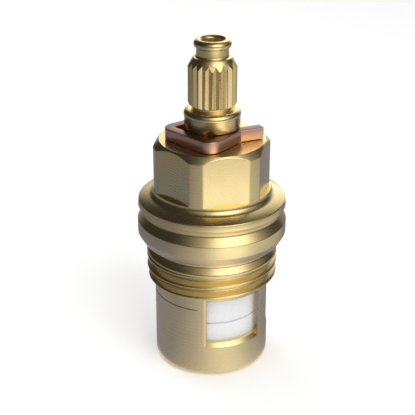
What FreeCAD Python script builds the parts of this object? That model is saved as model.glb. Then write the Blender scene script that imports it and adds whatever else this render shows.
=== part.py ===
import FreeCAD, Part
import math
import os

# Ceramic disc tap cartridge (headwork valve) with a half-turn spindle.
# Millimetres, +Z up along the spindle, origin on the axis at the underside of the base seal.
# A plan angle is measured from -Y towards +X, so 0 faces the front flat of the hexagon.

# Disc sleeve, seal and discs
seal_proud = 0.45            # base seal below the sleeve's lower edge
sleeve_outer_r = 9.20
sleeve_wall = 1.10
sleeve_height = 13.75        # lower edge to the shoulder that meets the thread's end
sleeve_lip_height = 0.85
sleeve_lip_width = 0.55      # lip that stands in from the bore
sleeve_edge_chamfer = 0.30
skirt_wall = 0.60            # outer part of the wall, taken by the headwork's skirt
spigot_height = 1.80
spigot_clearance = 0.03      # radial, spigot in its counterbore
spigot_end_gap = 0.10
skirt_height = 2.15          # headwork skirt that laps over the closed side of the sleeve
skirt_clearance = 0.03       # hairline joint between skirt and sleeve

outlet_angle = 50.5          # plan angle of the post between the two windows
window_spread_angle = 82.0   # between the middles of the two windows
window_width = 8.40          # straight cut through the wall
window_edge_chamfer = 0.40
window_sill_height = 5.55    # sill above the sleeve's lower edge
window_head_height = 0.60    # solid ring above the windows, below the shoulder
full_wall_angle = 159.0      # outlet side, where no skirt laps over the sleeve

key_count = 2
key_spread_angle = 100.0     # between the two keys, on the closed side
key_width = 2.00
key_reach = 0.70             # into the disc, beyond its rim
key_top_above_disc = 1.40    # how far a key reaches up beside the fixed disc
key_clearance = 0.10

disc_clearance = 0.10        # radial, disc in the sleeve
disc_edge_chamfer = 0.15
fixed_disc_height = 4.20
moving_disc_height = 4.20
disc_film_gap = 0.02         # lapped faces, drawn a film apart
port_r = 5.80
port_land = 0.80             # ceramic each side of the middle line
port_corner_r = 0.80
relief_height = 1.70         # half-moon relief under the moving disc, open to its rim

seal_height = 4.90
seal_outer_clearance = 0.05
seal_nose_clearance = 0.10   # radial, nose in the sleeve's lip
seal_nose_inner_r = 5.80
seal_disc_gap = 0.05
ring_outer_r = 5.30
ring_inner_r = 4.90
ring_height = 4.25
ring_clearance = 0.02

# Drive between spindle and moving disc
blade_length = 11.60
blade_width = 3.10
blade_height = 1.40
blade_clearance = 0.06
blade_end_gap = 0.10         # under the blade, in the disc's slot
drive_gap = 0.05             # drive flange above the disc
drive_flange_clearance = 0.30  # radial, flange in the headwork's cavity
drive_flange_height = 2.40
hub_r = 5.40
hub_height = 2.90
stop_lug_angle = 40.0
stop_lug_clearance = 0.25    # radial, lug in the cavity
stop_clearance_angle = 1.5   # left at each end of the half turn
half_turn_angle = 180.0
stop_wall_clearance = 0.20   # stop segment from the hub

# Headwork
bore_clearance = 0.06        # radial, spindle in its bore
cavity_step = 1.40           # cavity inside the spigot's radius
bore_mouth_chamfer = 0.40
washer_outer_r = 5.50
washer_height = 0.80
washer_gap = 0.05            # above and below the slip washer
washer_bore_clearance = 0.10
thread_root_step = 0.1155    # root of the G 1/2 thread outside the sleeve
thread_depth = 1.162         # G 1/2
thread_length = 6.82
thread_chamfer_height = 0.65
thread_relief_step = 0.4345  # relief under the seat ring, outside the thread's root
thread_relief_height = 0.85
thread_relief_dish = 0.30    # relief's upper end below the seat face
thread_relief_run = 1.30     # flank from the relief out to the thread
seat_ring_r = 11.85
seat_ring_lower_r = 11.00
seat_face_clearance = 0.05   # radial, seat face from the thread's crests
seat_ring_taper_height = 1.43
seat_ring_height = 2.05
cove_root_r = 10.95
cove_root_height = 1.75      # narrowest point above the seat ring
rim_r = 11.75
rim_underside_height = 0.80  # narrowest point of the cove to the rim's lower edge
rim_height = 0.75
flange_bevel_width = 0.65
flange_bevel_drop = 0.55
flat_root_fillet = 1.10
hex_height = 9.40            # flange top to the top face
hex_across_flats = 17.00
hex_corner_r = 9.25
hex_top_chamfer = 0.95

# Retaining clip, a bent spring strip open at one end
clip_height = 1.85
clip_strip = 1.60
clip_seat_gap = 0.08         # clip above the headwork's top face
clip_play = 0.07             # clip below the collar
clip_back = 5.98             # closed end, axis to outside
clip_leg = 5.60              # leg at the closed end, middle line to outside
clip_leg_taper_angle = 7.9   # legs close towards the open end
clip_leg_length = 6.80
clip_tail_angle = 21.4
clip_tail_length = 4.10
clip_corner_r = 1.10         # middle of the strip
clip_tail_r = 1.30
clip_turn_angle = 120.8      # plan angle of the open end
clip_groove_r = 3.25

# Spindle above and inside the headwork
shaft_r = 4.40
oring_groove_r = 3.20
oring_groove_width = 2.10
oring_side_clearance = 0.02
oring_section_sides = 8      # the round section, drawn as a regular polygon
oring_lower_height = 4.00    # washer seat to the middle of the lower groove
oring_spacing = 5.00
collar_r = 4.36
collar_height = 2.95
collar_bead_r = 0.80
collar_bead_proud = 0.07
undercut_r = 3.14
undercut_height = 0.60
spline_r = 3.76
spline_foot_chamfer = 0.30
spline_length = 6.05         # foot to the start of the cone, foot chamfer included
spline_count = 20
spline_depth = 0.40
spline_groove_angle = 100.0
spline_turn_angle = -6.0    # plan angle of one groove
cone_height = 1.47
lip_r = 3.05
lip_round = 0.20
neck_r = 2.48
neck_height = 1.98           # lip to the middle of the bead
neck_flare_r = 0.35
bead_centre_r = 2.15
bead_section_r = 0.72
screw_hole_r = 1.65          # M4 tapping size
screw_hole_depth = 9.00
screw_countersink_r = 2.00
screw_tip_angle = 118.0

arc_chord_error = 0.03       # rounds of turned outlines are drawn as chords this close

# Radii worked out from the sizes above
sleeve_bore_r = sleeve_outer_r - sleeve_wall
sleeve_lip_bore_r = sleeve_bore_r - sleeve_lip_width
spigot_outer_r = sleeve_outer_r - skirt_wall
disc_r = sleeve_bore_r - disc_clearance
key_inner_r = disc_r - key_reach
seal_nose_outer_r = sleeve_lip_bore_r - seal_nose_clearance
cavity_r = spigot_outer_r - cavity_step
drive_flange_r = cavity_r - drive_flange_clearance
stop_lug_r = cavity_r - stop_lug_clearance
thread_root_r = sleeve_outer_r + thread_root_step
thread_major_r = thread_root_r + thread_depth
thread_relief_r = thread_root_r + thread_relief_step
bore_r = shaft_r + bore_clearance
counterbore_r = spigot_outer_r + spigot_clearance

# Heights worked out from the sizes above
sleeve_foot_z = seal_proud
lip_top_z = sleeve_foot_z + sleeve_lip_height
sill_z = sleeve_foot_z + window_sill_height
shoulder_z = sleeve_foot_z + sleeve_height
window_top_z = shoulder_z - window_head_height
skirt_foot_z = shoulder_z - skirt_height
fixed_disc_z = seal_height + seal_disc_gap
moving_disc_z = fixed_disc_z + fixed_disc_height + disc_film_gap
drive_z = moving_disc_z + moving_disc_height + drive_gap
hub_z = drive_z + drive_flange_height
hub_top_z = hub_z + hub_height
washer_z = hub_top_z + washer_gap
washer_seat_z = washer_z + washer_height + washer_gap
seat_face_z = shoulder_z + thread_length
seat_ring_z = seat_face_z + seat_ring_taper_height
seat_ring_top_z = seat_ring_z + seat_ring_height
cove_root_z = seat_ring_top_z + cove_root_height
rim_z = cove_root_z + rim_underside_height
flange_top_z = rim_z + rim_height + flange_bevel_drop
body_top_z = flange_top_z + hex_height
clip_z = body_top_z + clip_seat_gap
collar_z = clip_z + clip_height + clip_play
collar_top_z = collar_z + collar_height
spline_foot_z = collar_top_z + undercut_height
cone_z = spline_foot_z + spline_length
lip_z = cone_z + cone_height
bead_z = lip_z + neck_height
spindle_top_z = bead_z + bead_section_r
thread_relief_z = seat_face_z - thread_relief_height
counterbore_top_z = shoulder_z + spigot_height + spigot_end_gap
closed_angle = outlet_angle + 180.0

UP = FreeCAD.Vector(0, 0, 1)
ORIGIN = FreeCAD.Vector(0, 0, 0)


def at(radius, z):
    """Point of a turned outline: radius along X, height along Z."""
    return FreeCAD.Vector(radius, 0, z)


def arc_chords(start, middle, end):
    """Points along an arc, close enough for their chords to keep within the chord error."""
    edge = Part.Arc(start, middle, end).toShape()
    radius = edge.Curve.Radius
    step_angle = 2 * math.acos(1 - arc_chord_error / radius)
    count = math.ceil(edge.Length / radius / step_angle)
    points = edge.discretize(count + 1)
    if points[0].distanceToPoint(start) > points[-1].distanceToPoint(start):
        points.reverse()
    return points[1:]


def turned(outline):
    """Solid of revolution; a step is a point, or (middle, end) for an arc."""
    points = [outline[0]]
    for step in outline[1:]:
        if isinstance(step, tuple):
            points += arc_chords(points[-1], step[0], step[1])
        elif step.distanceToPoint(points[-1]) > 1e-7:
            points.append(step)
    face = Part.Face(Part.makePolygon(points + [outline[0]]))
    return face.revolve(ORIGIN, UP, 360)


def arc_to(centre, radius, start_angle, end_angle):
    """Middle and end of an arc in the outline's plane, angles from +X towards +Z."""
    points = []
    for angle in ((start_angle + end_angle) / 2, end_angle):
        turn = math.radians(angle)
        points.append(at(centre.x + radius * math.cos(turn), centre.z + radius * math.sin(turn)))
    return tuple(points)


def rod(radius, low, high):
    return Part.makeCylinder(radius, high - low, at(0, low))


def tube(inner, outer, low, high):
    return rod(outer, low, high).cut(rod(inner, low, high))


def sector(inner, outer, low, high, start_angle, end_angle):
    """Part of a tube between two plan angles."""
    solid = Part.makeCylinder(outer, high - low, at(0, low), UP, end_angle - start_angle)
    solid = solid.cut(rod(inner, low, high))
    solid.rotate(ORIGIN, UP, start_angle - 90)
    return solid


def bar(near, far, width, low, high, angle):
    """Box from near to far along a plan direction."""
    solid = Part.makeBox(width, far - near, high - low, FreeCAD.Vector(-width / 2, -far, low))
    solid.rotate(ORIGIN, UP, angle)
    return solid


def upright_edges(solid):
    """Straight edges that run along Z."""
    found = []
    for edge in solid.Edges:
        if len(edge.Vertexes) == 2:
            run = edge.Vertexes[1].Point.sub(edge.Vertexes[0].Point)
            if abs(run.z) > 1e-6 and math.hypot(run.x, run.y) < 1e-6:
                found.append(edge)
    return found


def half_moon(radius, land, low, high, angle):
    """Half-moon prism on one side of the middle line, with rounded corners."""
    solid = rod(radius, low, high).common(bar(land, 2 * radius, 3 * radius, low, high, angle))
    return solid.makeFillet(port_corner_r, upright_edges(solid))


def rounded_path(points, radii):
    """Wire through the points with a tangent arc at each inner one."""
    edges = []
    start = points[0]
    for index, radius in enumerate(radii, start=1):
        corner = points[index]
        back = points[index - 1].sub(corner).normalize()
        ahead = points[index + 1].sub(corner).normalize()
        half = back.getAngle(ahead) / 2
        reach = radius / math.tan(half)
        middle_line = back.add(ahead).normalize()
        first = corner.add(FreeCAD.Vector(back).multiply(reach))
        last = corner.add(FreeCAD.Vector(ahead).multiply(reach))
        offset = radius / math.sin(half) - radius
        middle = corner.add(middle_line.multiply(offset))
        edges.append(Part.makeLine(start, first))
        edges.append(Part.Arc(first, middle, last).toShape())
        start = last
    edges.append(Part.makeLine(start, points[-1]))
    return Part.Wire(edges)


def disc_sleeve():
    """Windowed tube that holds the discs, with a lip below and a spigot above."""
    chamfer = sleeve_edge_chamfer
    solid = turned([
        at(sleeve_lip_bore_r, sleeve_foot_z),
        at(sleeve_outer_r - chamfer, sleeve_foot_z),
        at(sleeve_outer_r, sleeve_foot_z + chamfer),
        at(sleeve_outer_r, shoulder_z),
        at(spigot_outer_r, shoulder_z),
        at(spigot_outer_r, shoulder_z + spigot_height),
        at(sleeve_bore_r, shoulder_z + spigot_height),
        at(sleeve_bore_r, lip_top_z),
        at(sleeve_lip_bore_r, lip_top_z),
    ])
    for side in (-1, 1):
        middle = outlet_angle + side * window_spread_angle / 2
        solid = solid.cut(bar(0, 2 * sleeve_outer_r, window_width, sill_z, window_top_z, middle))
    solid = solid.makeChamfer(window_edge_chamfer, window_edges(solid))
    lap = sector(spigot_outer_r, 2 * sleeve_outer_r, skirt_foot_z - skirt_clearance, shoulder_z,
                 outlet_angle + full_wall_angle / 2, outlet_angle + 360 - full_wall_angle / 2)
    solid = solid.cut(lap)
    for angle in key_angles():
        key = bar(key_inner_r, sleeve_bore_r + sleeve_wall / 2, key_width,
                  lip_top_z, fixed_disc_z + key_top_above_disc, angle)
        solid = solid.fuse(key)
    return solid.removeSplitter()


def window_edges(solid):
    """Edges of the windows on the sleeve's outside."""
    found = []
    for edge in solid.Edges:
        points = [vertex.Point for vertex in edge.Vertexes]
        outside = all(abs(math.hypot(point.x, point.y) - sleeve_outer_r) < 1e-4 for point in points)
        inside = all(sill_z - 1e-4 < point.z < window_top_z + 1e-4 for point in points)
        if outside and inside:
            found.append(edge)
    return found


def key_angles():
    """Plan angles of the keys, spread evenly about the closed side."""
    step = key_spread_angle / (key_count - 1)
    return [closed_angle - key_spread_angle / 2 + index * step for index in range(key_count)]


def key_ways(low, high):
    """Room for the sleeve's keys in a disc or seal."""
    width = key_width + 2 * key_clearance
    return [bar(key_inner_r - key_clearance, 2 * disc_r, width, low, high, angle) for angle in key_angles()]


def ceramic_blank(low, high):
    chamfer = disc_edge_chamfer
    return turned([
        at(0, low),
        at(disc_r - chamfer, low),
        at(disc_r, low + chamfer),
        at(disc_r, high - chamfer),
        at(disc_r - chamfer, high),
        at(0, high),
    ])


def fixed_disc():
    """Lower disc with one half-moon port on the outlet side."""
    top = fixed_disc_z + fixed_disc_height
    solid = ceramic_blank(fixed_disc_z, top)
    solid = solid.cut(half_moon(port_r, port_land, fixed_disc_z, top, outlet_angle))
    for way in key_ways(fixed_disc_z, fixed_disc_z + key_top_above_disc + key_clearance):
        solid = solid.cut(way)
    return solid


def moving_disc():
    """Upper disc, shut: its relief faces the closed side, its slot takes the spindle's blade."""
    top = moving_disc_z + moving_disc_height
    solid = ceramic_blank(moving_disc_z, top)
    solid = solid.cut(bar(port_land, 2 * disc_r, 3 * disc_r, moving_disc_z,
                          moving_disc_z + relief_height, closed_angle))
    half_slot = blade_length / 2 + blade_clearance
    slot_floor = drive_z - blade_height - blade_end_gap
    slot = bar(-half_slot, half_slot, blade_width + 2 * blade_clearance, slot_floor, top, outlet_angle + 90)
    return solid.cut(slot)


def base_seal():
    """Rubber ring under the fixed disc, whose nose passes the sleeve's lip."""
    outer = sleeve_bore_r - seal_outer_clearance
    inner = ring_outer_r + ring_clearance
    shoulder = lip_top_z + ring_clearance
    solid = turned([
        at(seal_nose_inner_r, 0),
        at(seal_nose_outer_r, 0),
        at(seal_nose_outer_r, shoulder),
        at(outer, shoulder),
        at(outer, seal_height),
        at(inner, seal_height),
        at(inner, seal_height - ring_height - ring_clearance),
        at(seal_nose_inner_r, seal_height - ring_height - ring_clearance),
    ])
    for way in key_ways(shoulder, seal_height):
        solid = solid.cut(way)
    return solid


def seal_support_ring():
    return tube(ring_inner_r, ring_outer_r, seal_height - ring_height, seal_height)


def headwork_body():
    """Hexagon, flange, seat ring and thread turned in one, bored from below."""
    root_centre = at(hex_corner_r + flat_root_fillet, flange_top_z + flat_root_fillet)
    outline = [
        at(bore_r + bore_mouth_chamfer, body_top_z),
        at(hex_corner_r - hex_top_chamfer, body_top_z),
        at(hex_corner_r, body_top_z - hex_top_chamfer),
        at(hex_corner_r, flange_top_z + flat_root_fillet),
        arc_to(root_centre, flat_root_fillet, 180, 270),
        at(rim_r - flange_bevel_width, flange_top_z),
        at(rim_r, flange_top_z - flange_bevel_drop),
        at(rim_r, rim_z),
        (at(cove_root_r, cove_root_z), at(seat_ring_r, seat_ring_top_z)),
        at(seat_ring_r, seat_ring_z),
        at(seat_ring_lower_r, seat_face_z),
        at(thread_major_r + seat_face_clearance, seat_face_z),
        at(thread_relief_r, seat_face_z - thread_relief_dish),
        at(thread_relief_r, thread_relief_z),
        at(thread_major_r, thread_relief_z - thread_relief_run),
        at(thread_major_r, shoulder_z + thread_chamfer_height),
        at(thread_root_r, shoulder_z),
        at(sleeve_outer_r, shoulder_z),
        at(sleeve_outer_r, skirt_foot_z),
        at(counterbore_r, skirt_foot_z),
        at(counterbore_r, counterbore_top_z),
        at(cavity_r, counterbore_top_z),
        at(cavity_r, washer_seat_z),
        at(bore_r, washer_seat_z),
        at(bore_r, body_top_z - bore_mouth_chamfer),
    ]
    solid = turned(outline)
    for index in range(6):
        cutter = bar(hex_across_flats / 2, 2 * hex_corner_r, 2 * hex_corner_r,
                     flange_top_z + flat_root_fillet, body_top_z, index * 60)
        solid = solid.cut(cutter)
    open_side = sector(sleeve_bore_r, thread_root_r, skirt_foot_z, shoulder_z,
                       outlet_angle - full_wall_angle / 2, outlet_angle + full_wall_angle / 2)
    solid = solid.cut(open_side)
    return solid.fuse(stop_segment()).removeSplitter()


def stop_segment():
    """Fixed stop inside the headwork that ends the spindle's half turn both ways."""
    span = 360 - half_turn_angle - stop_lug_angle - 2 * stop_clearance_angle
    start = lug_angle() - stop_lug_angle / 2 - stop_clearance_angle - span
    return sector(hub_r + stop_wall_clearance, cavity_r + 0.5 * (thread_root_r - cavity_r),
                  counterbore_top_z, washer_seat_z, start, start + span)


def lug_angle():
    """Plan angle of the spindle's stop lug with the valve shut."""
    return closed_angle


def thrust_washer():
    return tube(shaft_r + washer_bore_clearance, washer_outer_r, washer_z, washer_z + washer_height)


def spindle():
    """Turned spindle with its spline, screw hole, stop lug and drive blade."""
    bead_centre = at(bead_centre_r, bead_z)
    bead_foot_angle = -math.degrees(math.acos((neck_r - bead_centre_r) / bead_section_r))
    collar_bead = at(collar_r + collar_bead_proud - collar_bead_r, collar_top_z - collar_bead_r)
    crease_angle = -math.degrees(math.acos((collar_r - collar_bead.x) / collar_bead_r))
    crease_z = collar_bead.z + collar_bead_r * math.sin(math.radians(crease_angle))
    bead_end_angle = math.degrees(math.acos((undercut_r - collar_bead.x) / collar_bead_r))
    tip_depth = screw_hole_r / math.tan(math.radians(screw_tip_angle / 2))
    hole_floor_z = spindle_top_z - screw_hole_depth
    countersink = screw_countersink_r - screw_hole_r
    neck_foot = at(neck_r + neck_flare_r, lip_z + neck_flare_r)
    lip_centre = at(lip_r - lip_round, lip_z - lip_round)
    outline = [at(0, drive_z), at(drive_flange_r, drive_z), at(drive_flange_r, hub_z), at(hub_r, hub_z)]
    outline += [at(hub_r, hub_top_z), at(shaft_r, hub_top_z)]
    for middle in oring_heights():
        low = middle - oring_groove_width / 2
        high = middle + oring_groove_width / 2
        outline += [at(shaft_r, low), at(oring_groove_r, low), at(oring_groove_r, high), at(shaft_r, high)]
    outline += [
        at(shaft_r, body_top_z),
        at(clip_groove_r, body_top_z),
        at(clip_groove_r, collar_z),
        at(collar_r, collar_z),
        at(collar_r, crease_z),
        arc_to(collar_bead, collar_bead_r, crease_angle, bead_end_angle),
        at(undercut_r, spline_foot_z),
        at(spline_r - spline_foot_chamfer, spline_foot_z),
        at(spline_r, spline_foot_z + spline_foot_chamfer),
        at(spline_r, cone_z),
        at(lip_r, lip_centre.z),
        arc_to(lip_centre, lip_round, 0, 90),
        at(neck_foot.x, lip_z),
        arc_to(neck_foot, neck_flare_r, 270, 180),
        at(neck_r, bead_z + bead_section_r * math.sin(math.radians(bead_foot_angle))),
        arc_to(bead_centre, bead_section_r, bead_foot_angle, 90),
        at(screw_countersink_r, spindle_top_z),
        at(screw_hole_r, spindle_top_z - countersink),
        at(screw_hole_r, hole_floor_z),
        at(0, hole_floor_z - tip_depth),
    ]
    solid = turned(outline)
    solid = solid.cut(Part.Compound(spline_grooves()))
    lug = sector(hub_r - 1, stop_lug_r, hub_z, hub_top_z,
                 lug_angle() - stop_lug_angle / 2, lug_angle() + stop_lug_angle / 2)
    blade = bar(-blade_length / 2, blade_length / 2, blade_width, drive_z - blade_height,
                drive_z + 1, outlet_angle + 90)
    return solid.fuse([lug, blade]).removeSplitter()


def oring_heights():
    lower = washer_seat_z + oring_lower_height
    return [lower, lower + oring_spacing]


def spline_grooves():
    """V grooves round the spline, run out through the cone above and the foot below."""
    half_width = 2 * spline_depth * math.tan(math.radians(spline_groove_angle / 2))
    root = spline_r - spline_depth
    corners = [
        FreeCAD.Vector(0, -root, spline_foot_z),
        FreeCAD.Vector(half_width, -root - 2 * spline_depth, spline_foot_z),
        FreeCAD.Vector(-half_width, -root - 2 * spline_depth, spline_foot_z),
        FreeCAD.Vector(0, -root, spline_foot_z),
    ]
    groove = Part.Face(Part.makePolygon(corners)).extrude(UP * (spline_length + cone_height))
    grooves = []
    for index in range(spline_count):
        copy = groove.copy()
        copy.rotate(ORIGIN, UP, spline_turn_angle + index * 360 / spline_count)
        grooves.append(copy)
    return grooves


def spindle_oring(middle):
    """O-ring drawn at its fitted size, between groove and bore."""
    ring_r = (bore_r + oring_groove_r) / 2
    half_step = math.pi / oring_section_sides
    corner_r = ((bore_r - oring_groove_r) / 2 - oring_side_clearance) / math.cos(half_step)
    outline = []
    for index in range(oring_section_sides):
        turn = (2 * index + 1) * half_step
        outline.append(at(ring_r + corner_r * math.cos(turn), middle + corner_r * math.sin(turn)))
    return turned(outline)


def retaining_clip():
    """Spring strip bent round the spindle's groove, its two tails turned out."""
    taper = math.radians(clip_leg_taper_angle)
    tail = math.radians(clip_tail_angle)
    half_strip = clip_strip / 2
    back = -clip_back + half_strip
    side = clip_leg - half_strip
    leg_end = back + clip_leg_length * math.cos(taper)
    leg_side = side - clip_leg_length * math.sin(taper)
    tail_end = leg_end + clip_tail_length * math.cos(tail)
    tail_side = leg_side + clip_tail_length * math.sin(tail)
    half = [(tail_end, tail_side), (leg_end, leg_side), (back, side)]
    points = [FreeCAD.Vector(-v, -u, clip_z) for u, v in half]
    points += [FreeCAD.Vector(v, -u, clip_z) for u, v in reversed(half)]
    path = rounded_path(points, [clip_tail_r, clip_corner_r, clip_corner_r, clip_tail_r])
    run = points[1].sub(points[0]).normalize()
    across = FreeCAD.Vector(-run.y, run.x, 0).multiply(half_strip)
    rise = UP * clip_height
    start = points[0]
    corners = [start.add(across), start.sub(across), start.sub(across).add(rise), start.add(across).add(rise)]
    section = Part.makePolygon(corners + corners[:1])
    solid = path.makePipeShell([section], True, False)
    solid.rotate(ORIGIN, UP, clip_turn_angle)
    return solid


def build():
    lower_ring, upper_ring = oring_heights()
    parts = {
        "headwork_body": headwork_body(),
        "disc_sleeve": disc_sleeve(),
        "fixed_disc": fixed_disc(),
        "moving_disc": moving_disc(),
        "base_seal": base_seal(),
        "seal_support_ring": seal_support_ring(),
        "thrust_washer": thrust_washer(),
        "spindle": spindle(),
        "spindle_oring_lower": spindle_oring(lower_ring),
        "spindle_oring_upper": spindle_oring(upper_ring),
        "retaining_clip": retaining_clip(),
    }
    os.makedirs("parts", exist_ok=True)
    for name, shape in parts.items():
        if not shape.isValid():
            raise ValueError(name + " is not a valid solid")
        shape.exportStep("parts/" + name + ".step")
        box = shape.BoundBox
        print(name, len(shape.Solids), "solid", round(shape.Volume, 1), "mm3",
              "z", round(box.ZMin, 2), "to", round(box.ZMax, 2))


build()
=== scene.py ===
# %% [markdown]
# # A ceramic disc tap cartridge
# This is the insert that sits under a tap's handle. The spindle turns one polished ceramic disc
# on another, and water leaves through the windows of the sleeve once the openings in the two meet.
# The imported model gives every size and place. This file gives it the turned, milled and ceramic
# surfaces that the eye expects, and never moves a part.

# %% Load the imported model
from collections import Counter
from math import acos, asin, atan2, cos, hypot, pi, radians, sin, sqrt

import bmesh
import bpy
import numpy as np
from mathutils import Euler, Matrix, Vector


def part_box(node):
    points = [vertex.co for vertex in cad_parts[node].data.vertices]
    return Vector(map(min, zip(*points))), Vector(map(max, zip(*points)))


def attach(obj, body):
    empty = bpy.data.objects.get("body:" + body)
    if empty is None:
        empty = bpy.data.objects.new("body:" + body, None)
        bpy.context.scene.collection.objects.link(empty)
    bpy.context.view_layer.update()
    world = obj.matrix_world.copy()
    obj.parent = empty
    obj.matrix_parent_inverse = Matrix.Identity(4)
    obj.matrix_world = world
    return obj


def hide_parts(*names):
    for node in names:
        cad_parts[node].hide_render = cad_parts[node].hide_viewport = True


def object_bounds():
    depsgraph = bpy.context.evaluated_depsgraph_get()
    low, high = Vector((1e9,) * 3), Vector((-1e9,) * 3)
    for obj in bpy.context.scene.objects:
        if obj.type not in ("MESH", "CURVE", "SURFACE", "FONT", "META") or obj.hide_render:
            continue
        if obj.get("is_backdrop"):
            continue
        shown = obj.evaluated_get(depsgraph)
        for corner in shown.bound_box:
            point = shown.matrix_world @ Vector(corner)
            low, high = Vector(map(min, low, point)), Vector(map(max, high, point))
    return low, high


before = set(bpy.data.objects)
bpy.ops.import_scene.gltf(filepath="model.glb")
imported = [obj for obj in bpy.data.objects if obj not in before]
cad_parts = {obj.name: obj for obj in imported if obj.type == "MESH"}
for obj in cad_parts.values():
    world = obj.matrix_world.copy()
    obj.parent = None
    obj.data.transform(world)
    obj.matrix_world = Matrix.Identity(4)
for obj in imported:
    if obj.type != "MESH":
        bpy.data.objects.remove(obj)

cad_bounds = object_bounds()
MM = 0.001
HEADWORK = "headwork"
TURNING = "turning_spindle"

# %% [markdown]
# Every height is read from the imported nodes, in millimetres, so that the pieces made here fit the
# ones they replace. Only the small things that the eye needs, such as an eased edge, get a new size.

# %% Heights from the model


def span(node):
    """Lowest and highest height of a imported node."""
    return [corner[2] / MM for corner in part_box(node)]


sleeve_foot, spigot_top = span("disc_sleeve")
skirt_foot, hex_top = span("headwork_body")
fixed_foot, fixed_top = span("fixed_disc")
moving_foot, moving_top = span("moving_disc")
clip_foot, clip_top = span("retaining_clip")
seal_top = span("base_seal")[1]
spindle_top = span("spindle")[1]
shoulder = spigot_top - 1.80  # end of the thread, where the sleeve's full wall stops
print("sleeve from %.2f, shoulder %.2f, hexagon to %.2f, spindle to %.2f mm" % (
    sleeve_foot, shoulder, hex_top, spindle_top))

# %% [markdown]
# Most of a cartridge comes off a lathe, so a surface here is a grid: one way along the turned
# outline, the other way round the axis. A radius or height may also change round the axis, which
# gives the flats of the hexagon and the thread. Each piece gathers its grids, then merges their
# shared edges into one closed mesh. Angles start at the front, at -Y, and grow towards +X.

# %% Grids of points become closed pieces


def polar(radius, angle, height):
    """Points in metres, from millimetres and radians; the arguments may be arrays."""
    across, along = radius * np.sin(angle), -radius * np.cos(angle)
    return np.stack(np.broadcast_arrays(across, along, height), axis=-1) * MM


def mesh_of(name, grids):
    """One mesh from grids of points that share their edges, with its faces pointing out."""
    work = bmesh.new()
    for grid in grids:
        rows, columns = grid.shape[:2]
        points = [work.verts.new(point) for point in grid.reshape(-1, 3)]
        for row in range(rows - 1):
            for column in range(columns - 1):
                first = row * columns + column
                work.faces.new([points[first], points[first + 1],
                                points[first + 1 + columns], points[first + columns]])
    bmesh.ops.remove_doubles(work, verts=work.verts, dist=0.002 * MM)
    bmesh.ops.recalc_face_normals(work, faces=work.faces)
    return ended(work, name)


def ended(work, name):
    """Turn working geometry into a mesh."""
    mesh = bpy.data.meshes.new(name)
    work.to_mesh(mesh)
    work.free()
    return shaded(mesh)


def shaded(mesh):
    """Smooth faces, with sharp edges where they meet at more than 35 degrees."""
    mesh.polygons.foreach_set("use_smooth", [True] * len(mesh.polygons))
    mesh.set_sharp_from_angle(angle=radians(35))
    return mesh


def put(name, data):
    """A new object in the scene."""
    made = bpy.data.objects.new(name, data)
    bpy.context.scene.collection.objects.link(made)
    return made


def piece(name, mesh, material, node, body):
    """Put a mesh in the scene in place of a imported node, riding on that node's body."""
    made = put(name, mesh)
    mesh.materials.clear()
    mesh.materials.append(material)
    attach(made, body)
    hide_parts(node)
    faces_at = Counter(key for polygon in mesh.polygons for key in polygon.edge_keys)
    open_edges = sum(count != 2 for count in faces_at.values())
    print("%s: %d faces, %d open edges" % (name, len(mesh.polygons), open_edges))


# %% [markdown]
# A lathe tool never leaves a perfect corner. Each corner of an outline is therefore eased by a
# small curve, and that curve is what catches the thin bright line along a metal edge.

# %% Outlines, arcs and eased corners


def arc(centre, radius, start, end, steps):
    """Points of an arc in the outline's plane; degrees from outward towards up."""
    angles = np.radians(np.linspace(start, end, steps + 1))
    return [(centre[0] + radius * cos(a), centre[1] + radius * sin(a)) for a in angles]


def arc_through(first, middle, last, steps):
    """Points of the arc through three points of the outline."""
    a, b, c = np.array([first, middle, last])
    # The centre is as far from one as from the others, which gives two linear equations.
    centre = np.linalg.solve([b - a, c - a], [(b @ b - a @ a) / 2, (c @ c - a @ a) / 2])
    turns = np.degrees(np.unwrap([atan2(*(point - centre)[::-1]) for point in (a, b, c)]))
    return arc(centre, hypot(*(a - centre)), turns[0], turns[2], steps)


def eased(rows, radius, least_turn=20, steps=3):
    """Round each corner that turns by more than least_turn degrees; a row is radii and heights."""
    out = [rows[0]]
    for before, corner, after in zip(rows[:-2], rows[1:-1], rows[2:]):
        back = before - corner
        ahead = after - corner
        back_length = np.maximum(np.linalg.norm(back, axis=0), 1e-9)
        ahead_length = np.maximum(np.linalg.norm(ahead, axis=0), 1e-9)
        cosine = -(back * ahead).sum(axis=0) / back_length / ahead_length
        turn = np.degrees(np.arccos(np.clip(cosine, -1, 1)))
        if turn.max() < least_turn or min(back_length.min(), ahead_length.min()) < 1e-6:
            out.append(corner)
            continue
        reach = np.minimum(radius, 0.45 * np.minimum(back_length, ahead_length))
        start = corner + back / back_length * reach
        end = corner + ahead / ahead_length * reach
        for t in np.linspace(0, 1, steps + 1):
            out.append((1 - t)**2 * start + 2 * t * (1 - t) * corner + t**2 * end)
    out.append(rows[-1])
    return np.array(out)


def lathe(outline, columns, edge, least_turn=20):
    """Grid of a closed turned outline, with its corners eased."""
    angles = np.linspace(0, 2 * pi, columns + 1)
    rows = np.array([np.broadcast_arrays(r, z, angles)[:2] for r, z in outline])
    rows = eased(rows, edge, least_turn)
    return polar(rows[:, 0], angles, rows[:, 1])


# %% [markdown]
# Brass from a lathe is bright but not a mirror. The tool leaves rings finer than a tenth of a
# millimetre, drawn a little coarser here so that they show. The rings lie round the axis, so their
# pattern depends only on the distance from the axis and the height.

# %% Small helpers for materials


def linear(hex_colour):
    """sRGB hex to the linear values that shaders take."""
    parts = [int(hex_colour[i:i + 2], 16) / 255 for i in (1, 3, 5)]
    return [c / 12.92 if c <= 0.04045 else ((c + 0.055) / 1.055)**2.4 for c in parts] + [1.0]


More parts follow.
